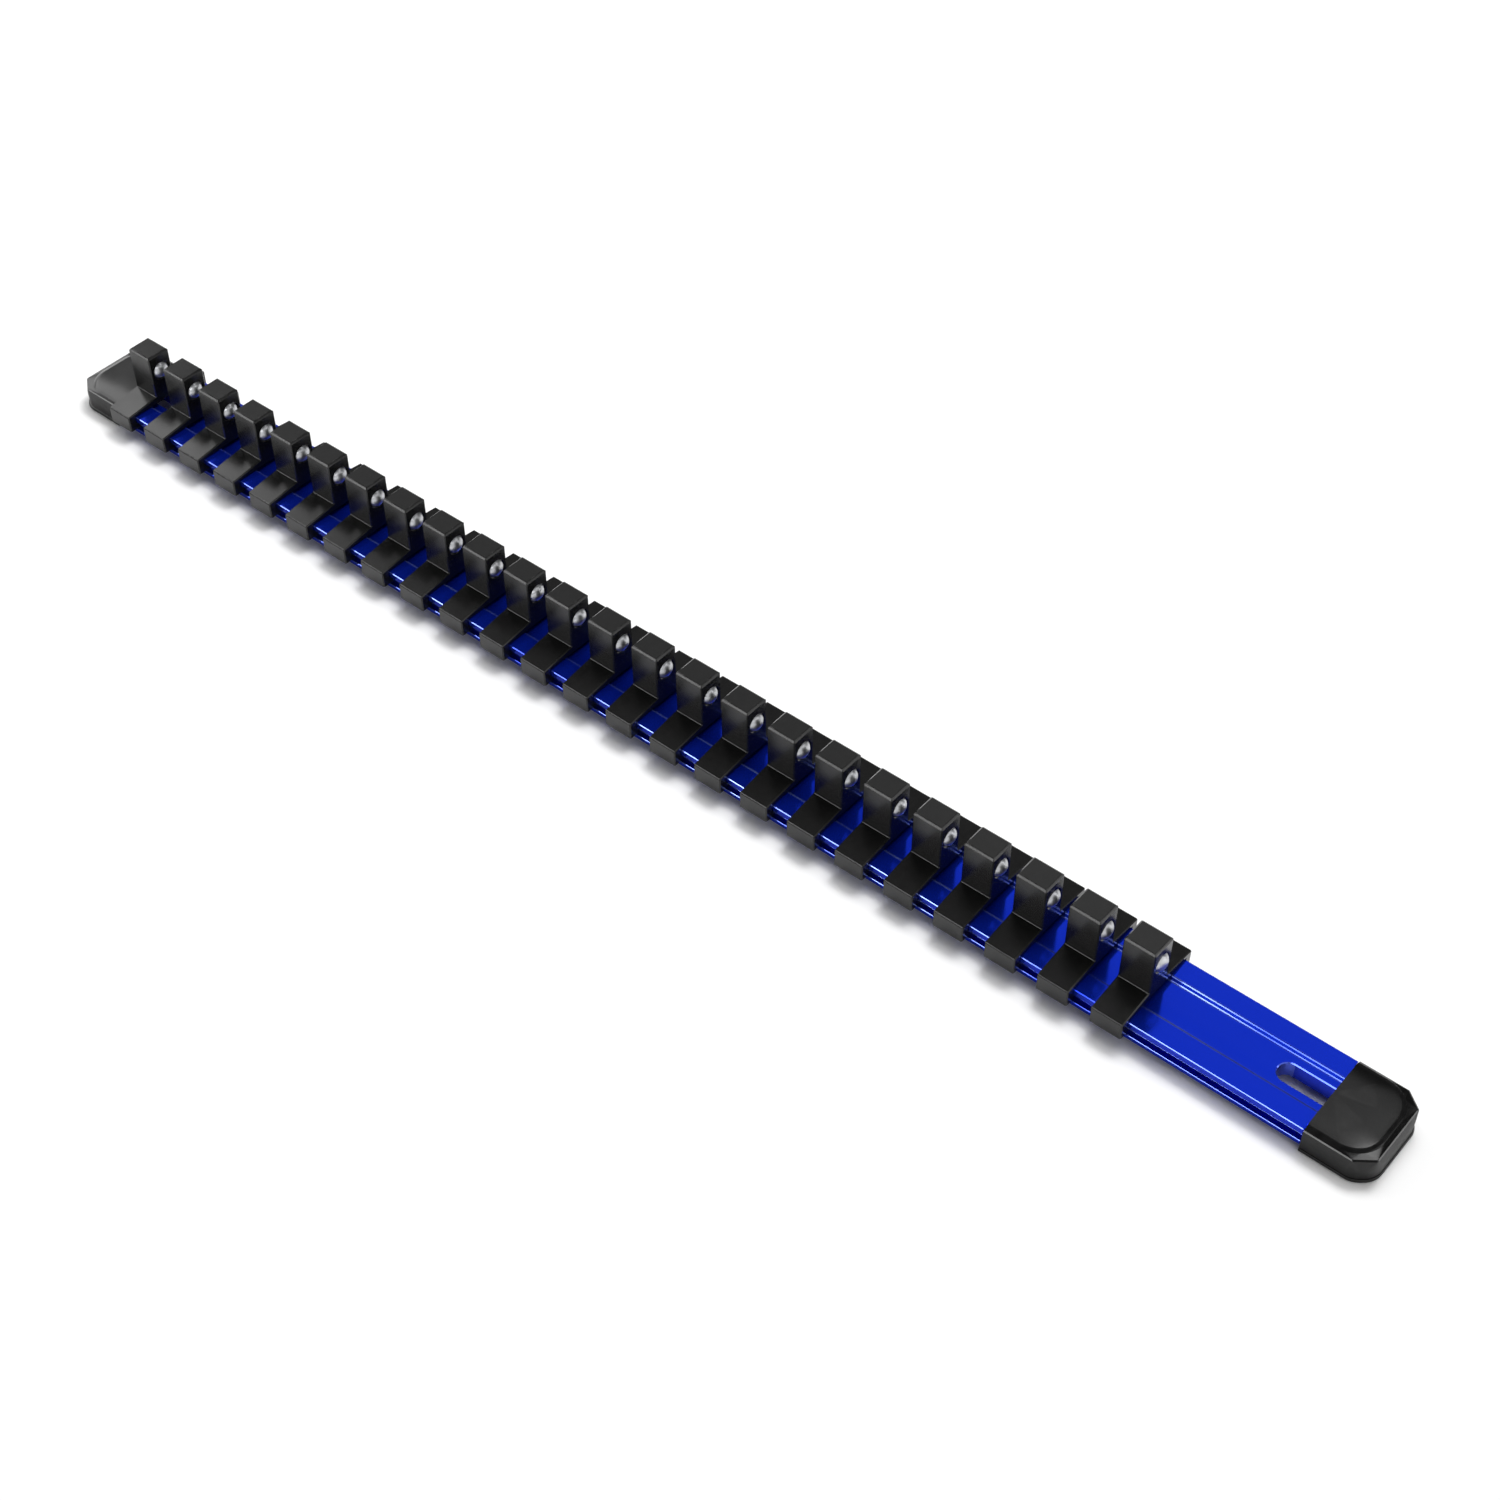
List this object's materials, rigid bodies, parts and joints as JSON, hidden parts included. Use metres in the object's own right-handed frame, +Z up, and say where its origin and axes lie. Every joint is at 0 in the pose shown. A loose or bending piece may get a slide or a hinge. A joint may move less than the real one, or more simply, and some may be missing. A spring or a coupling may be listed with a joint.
{
  "type": "socket rail",
  "caption": "Low aluminium channel rail with a row of sliding plastic clips, each with a square post and a sprung steel ball to hold a drive socket, closed by soft end caps that act as feet.",
  "frame": {"origin": "below the middle of the rail, at the level of the end caps' feet", "axes": "+X along the rail towards its bare end, +Y to the back, +Z up along the posts"},
  "size_m": [0.4644, 0.031, 0.0247],
  "materials": {
    "blue_anodised_aluminium": "bright blue anodised, glossy",
    "black_nylon": "moulded black nylon, semi-gloss",
    "black_vinyl": "soft black vinyl, smooth",
    "polished_steel": "polished steel ball"
  },
  "bodies": {
    "rail_body": {"rail": "blue_anodised_aluminium", "end_cap_left": "black_vinyl", "end_cap_right": "black_vinyl"},
    "clip_01_body": {"clip_01": "black_nylon"},
    "detent_01_body": {"detent_01": "polished_steel"},
    "clip_02_body": {"clip_02": "black_nylon"},
    "detent_02_body": {"detent_02": "polished_steel"},
    "clip_03_body": {"clip_03": "black_nylon"},
    "detent_03_body": {"detent_03": "polished_steel"},
    "clip_04_body": {"clip_04": "black_nylon"},
    "detent_04_body": {"detent_04": "polished_steel"},
    "clip_05_body": {"clip_05": "black_nylon"},
    "detent_05_body": {"detent_05": "polished_steel"},
    "clip_06_body": {"clip_06": "black_nylon"},
    "detent_06_body": {"detent_06": "polished_steel"},
    "clip_07_body": {"clip_07": "black_nylon"},
    "detent_07_body": {"detent_07": "polished_steel"},
    "clip_08_body": {"clip_08": "black_nylon"},
    "detent_08_body": {"detent_08": "polished_steel"},
    "clip_09_body": {"clip_09": "black_nylon"},
    "detent_09_body": {"detent_09": "polished_steel"},
    "clip_10_body": {"clip_10": "black_nylon"},
    "detent_10_body": {"detent_10": "polished_steel"},
    "clip_11_body": {"clip_11": "black_nylon"},
    "detent_11_body": {"detent_11": "polished_steel"},
    "clip_12_body": {"clip_12": "black_nylon"},
    "detent_12_body": {"detent_12": "polished_steel"},
    "clip_13_body": {"clip_13": "black_nylon"},
    "detent_13_body": {"detent_13": "polished_steel"},
    "clip_14_body": {"clip_14": "black_nylon"},
    "detent_14_body": {"detent_14": "polished_steel"},
    "clip_15_body": {"clip_15": "black_nylon"},
    "detent_15_body": {"detent_15": "polished_steel"},
    "clip_16_body": {"clip_16": "black_nylon"},
    "detent_16_body": {"detent_16": "polished_steel"},
    "clip_17_body": {"clip_17": "black_nylon"},
    "detent_17_body": {"detent_17": "polished_steel"},
    "clip_18_body": {"clip_18": "black_nylon"},
    "detent_18_body": {"detent_18": "polished_steel"},
    "clip_19_body": {"clip_19": "black_nylon"},
    "detent_19_body": {"detent_19": "polished_steel"},
    "clip_20_body": {"clip_20": "black_nylon"},
    "detent_20_body": {"detent_20": "polished_steel"},
    "clip_21_body": {"clip_21": "black_nylon"},
    "detent_21_body": {"detent_21": "polished_steel"},
    "clip_22_body": {"clip_22": "black_nylon"},
    "detent_22_body": {"detent_22": "polished_steel"},
    "clip_23_body": {"clip_23": "black_nylon"},
    "detent_23_body": {"detent_23": "polished_steel"},
    "clip_24_body": {"clip_24": "black_nylon"},
    "detent_24_body": {"detent_24": "polished_steel"}
  },
  "joints": [
    {"name": "clip_24_slide", "type": "slide", "parent": "rail_body", "child": "clip_24_body", "axis": [1, 0, 0], "range_m": [-0.0051, 0.049]},
    {"name": "detent_24_press", "type": "slide", "parent": "clip_24_body", "child": "detent_24_body", "axis": [1, 0, 0], "range_m": [-0.0012, 0], "stiffness_N_per_m": 800},
    {"name": "clip_01_slide", "type": "slide", "parent": "rail_body", "child": "clip_01_body", "axis": [1, 0, 0], "range_m": [0, 0.0051]},
    {"name": "detent_01_press", "type": "slide", "parent": "clip_01_body", "child": "detent_01_body", "axis": [1, 0, 0], "range_m": [-0.0012, 0], "stiffness_N_per_m": 800},
    {"name": "clip_12_slide", "type": "slide", "parent": "rail_body", "child": "clip_12_body", "axis": [1, 0, 0], "range_m": [-0.0051, 0.0051]},
    {"name": "detent_12_press", "type": "slide", "parent": "clip_12_body", "child": "detent_12_body", "axis": [1, 0, 0], "range_m": [-0.0012, 0], "stiffness_N_per_m": 800},
    {"name": "clip_23_slide", "type": "slide", "parent": "rail_body", "child": "clip_23_body", "axis": [1, 0, 0], "range_m": [-0.0051, 0.0051]},
    {"name": "detent_23_press", "type": "slide", "parent": "clip_23_body", "child": "detent_23_body", "axis": [1, 0, 0], "range_m": [-0.0012, 0], "stiffness_N_per_m": 800},
    {"name": "clip_02_slide", "type": "slide", "parent": "rail_body", "child": "clip_02_body", "axis": [1, 0, 0], "range_m": [-0.0051, 0.0051]},
    {"name": "detent_02_press", "type": "slide", "parent": "clip_02_body", "child": "detent_02_body", "axis": [1, 0, 0], "range_m": [-0.0012, 0], "stiffness_N_per_m": 800},
    {"name": "clip_13_slide", "type": "slide", "parent": "rail_body", "child": "clip_13_body", "axis": [1, 0, 0], "range_m": [-0.0051, 0.0051]},
    {"name": "detent_13_press", "type": "slide", "parent": "clip_13_body", "child": "detent_13_body", "axis": [1, 0, 0], "range_m": [-0.0012, 0], "stiffness_N_per_m": 800},
    {"name": "clip_06_slide", "type": "slide", "parent": "rail_body", "child": "clip_06_body", "axis": [1, 0, 0], "range_m": [-0.0051, 0.0051]},
    {"name": "detent_06_press", "type": "slide", "parent": "clip_06_body", "child": "detent_06_body", "axis": [1, 0, 0], "range_m": [-0.0012, 0], "stiffness_N_per_m": 800},
    {"name": "clip_18_slide", "type": "slide", "parent": "rail_body", "child": "clip_18_body", "axis": [1, 0, 0], "range_m": [-0.0051, 0.0051]},
    {"name": "detent_18_press", "type": "slide", "parent": "clip_18_body", "child": "detent_18_body", "axis": [1, 0, 0], "range_m": [-0.0012, 0], "stiffness_N_per_m": 800},
    {"name": "clip_03_slide", "type": "slide", "parent": "rail_body", "child": "clip_03_body", "axis": [1, 0, 0], "range_m": [-0.0051, 0.0051]},
    {"name": "detent_03_press", "type": "slide", "parent": "clip_03_body", "child": "detent_03_body", "axis": [1, 0, 0], "range_m": [-0.0012, 0], "stiffness_N_per_m": 800},
    {"name": "clip_04_slide", "type": "slide", "parent": "rail_body", "child": "clip_04_body", "axis": [1, 0, 0], "range_m": [-0.0051, 0.0051]},
    {"name": "detent_04_press", "type": "slide", "parent": "clip_04_body", "child": "detent_04_body", "axis": [1, 0, 0], "range_m": [-0.0012, 0], "stiffness_N_per_m": 800},
    {"name": "clip_05_slide", "type": "slide", "parent": "rail_body", "child": "clip_05_body", "axis": [1, 0, 0], "range_m": [-0.0051, 0.0051]},
    {"name": "detent_05_press", "type": "slide", "parent": "clip_05_body", "child": "detent_05_body", "axis": [1, 0, 0], "range_m": [-0.0012, 0], "stiffness_N_per_m": 800},
    {"name": "clip_07_slide", "type": "slide", "parent": "rail_body", "child": "clip_07_body", "axis": [1, 0, 0], "range_m": [-0.0051, 0.0051]},
    {"name": "detent_07_press", "type": "slide", "parent": "clip_07_body", "child": "detent_07_body", "axis": [1, 0, 0], "range_m": [-0.0012, 0], "stiffness_N_per_m": 800},
    {"name": "clip_08_slide", "type": "slide", "parent": "rail_body", "child": "clip_08_body", "axis": [1, 0, 0], "range_m": [-0.0051, 0.0051]},
    {"name": "detent_08_press", "type": "slide", "parent": "clip_08_body", "child": "detent_08_body", "axis": [1, 0, 0], "range_m": [-0.0012, 0], "stiffness_N_per_m": 800},
    {"name": "clip_09_slide", "type": "slide", "parent": "rail_body", "child": "clip_09_body", "axis": [1, 0, 0], "range_m": [-0.0051, 0.0051]},
    {"name": "detent_09_press", "type": "slide", "parent": "clip_09_body", "child": "detent_09_body", "axis": [1, 0, 0], "range_m": [-0.0012, 0], "stiffness_N_per_m": 800},
    {"name": "clip_10_slide", "type": "slide", "parent": "rail_body", "child": "clip_10_body", "axis": [1, 0, 0], "range_m": [-0.0051, 0.0051]},
    {"name": "detent_10_press", "type": "slide", "parent": "clip_10_body", "child": "detent_10_body", "axis": [1, 0, 0], "range_m": [-0.0012, 0], "stiffness_N_per_m": 800},
    {"name": "clip_11_slide", "type": "slide", "parent": "rail_body", "child": "clip_11_body", "axis": [1, 0, 0], "range_m": [-0.0051, 0.0051]},
    {"name": "detent_11_press", "type": "slide", "parent": "clip_11_body", "child": "detent_11_body", "axis": [1, 0, 0], "range_m": [-0.0012, 0], "stiffness_N_per_m": 800},
    {"name": "clip_14_slide", "type": "slide", "parent": "rail_body", "child": "clip_14_body", "axis": [1, 0, 0], "range_m": [-0.0051, 0.0051]},
    {"name": "detent_14_press", "type": "slide", "parent": "clip_14_body", "child": "detent_14_body", "axis": [1, 0, 0], "range_m": [-0.0012, 0], "stiffness_N_per_m": 800},
    {"name": "clip_15_slide", "type": "slide", "parent": "rail_body", "child": "clip_15_body", "axis": [1, 0, 0], "range_m": [-0.0051, 0.0051]},
    {"name": "detent_15_press", "type": "slide", "parent": "clip_15_body", "child": "detent_15_body", "axis": [1, 0, 0], "range_m": [-0.0012, 0], "stiffness_N_per_m": 800},
    {"name": "clip_16_slide", "type": "slide", "parent": "rail_body", "child": "clip_16_body", "axis": [1, 0, 0], "range_m": [-0.0051, 0.0051]},
    {"name": "detent_16_press", "type": "slide", "parent": "clip_16_body", "child": "detent_16_body", "axis": [1, 0, 0], "range_m": [-0.0012, 0], "stiffness_N_per_m": 800},
    {"name": "clip_17_slide", "type": "slide", "parent": "rail_body", "child": "clip_17_body", "axis": [1, 0, 0], "range_m": [-0.0051, 0.0051]},
    {"name": "detent_17_press", "type": "slide", "parent": "clip_17_body", "child": "detent_17_body", "axis": [1, 0, 0], "range_m": [-0.0012, 0], "stiffness_N_per_m": 800},
    {"name": "clip_19_slide", "type": "slide", "parent": "rail_body", "child": "clip_19_body", "axis": [1, 0, 0], "range_m": [-0.0051, 0.0051]},
    {"name": "detent_19_press", "type": "slide", "parent": "clip_19_body", "child": "detent_19_body", "axis": [1, 0, 0], "range_m": [-0.0012, 0], "stiffness_N_per_m": 800},
    {"name": "clip_20_slide", "type": "slide", "parent": "rail_body", "child": "clip_20_body", "axis": [1, 0, 0], "range_m": [-0.0051, 0.0051]},
    {"name": "detent_20_press", "type": "slide", "parent": "clip_20_body", "child": "detent_20_body", "axis": [1, 0, 0], "range_m": [-0.0012, 0], "stiffness_N_per_m": 800},
    {"name": "clip_21_slide", "type": "slide", "parent": "rail_body", "child": "clip_21_body", "axis": [1, 0, 0], "range_m": [-0.0051, 0.0051]},
    {"name": "detent_21_press", "type": "slide", "parent": "clip_21_body", "child": "detent_21_body", "axis": [1, 0, 0], "range_m": [-0.0012, 0], "stiffness_N_per_m": 800},
    {"name": "clip_22_slide", "type": "slide", "parent": "rail_body", "child": "clip_22_body", "axis": [1, 0, 0], "range_m": [-0.0051, 0.0051]},
    {"name": "detent_22_press", "type": "slide", "parent": "clip_22_body", "child": "detent_22_body", "axis": [1, 0, 0], "range_m": [-0.0012, 0], "stiffness_N_per_m": 800}
  ]
}
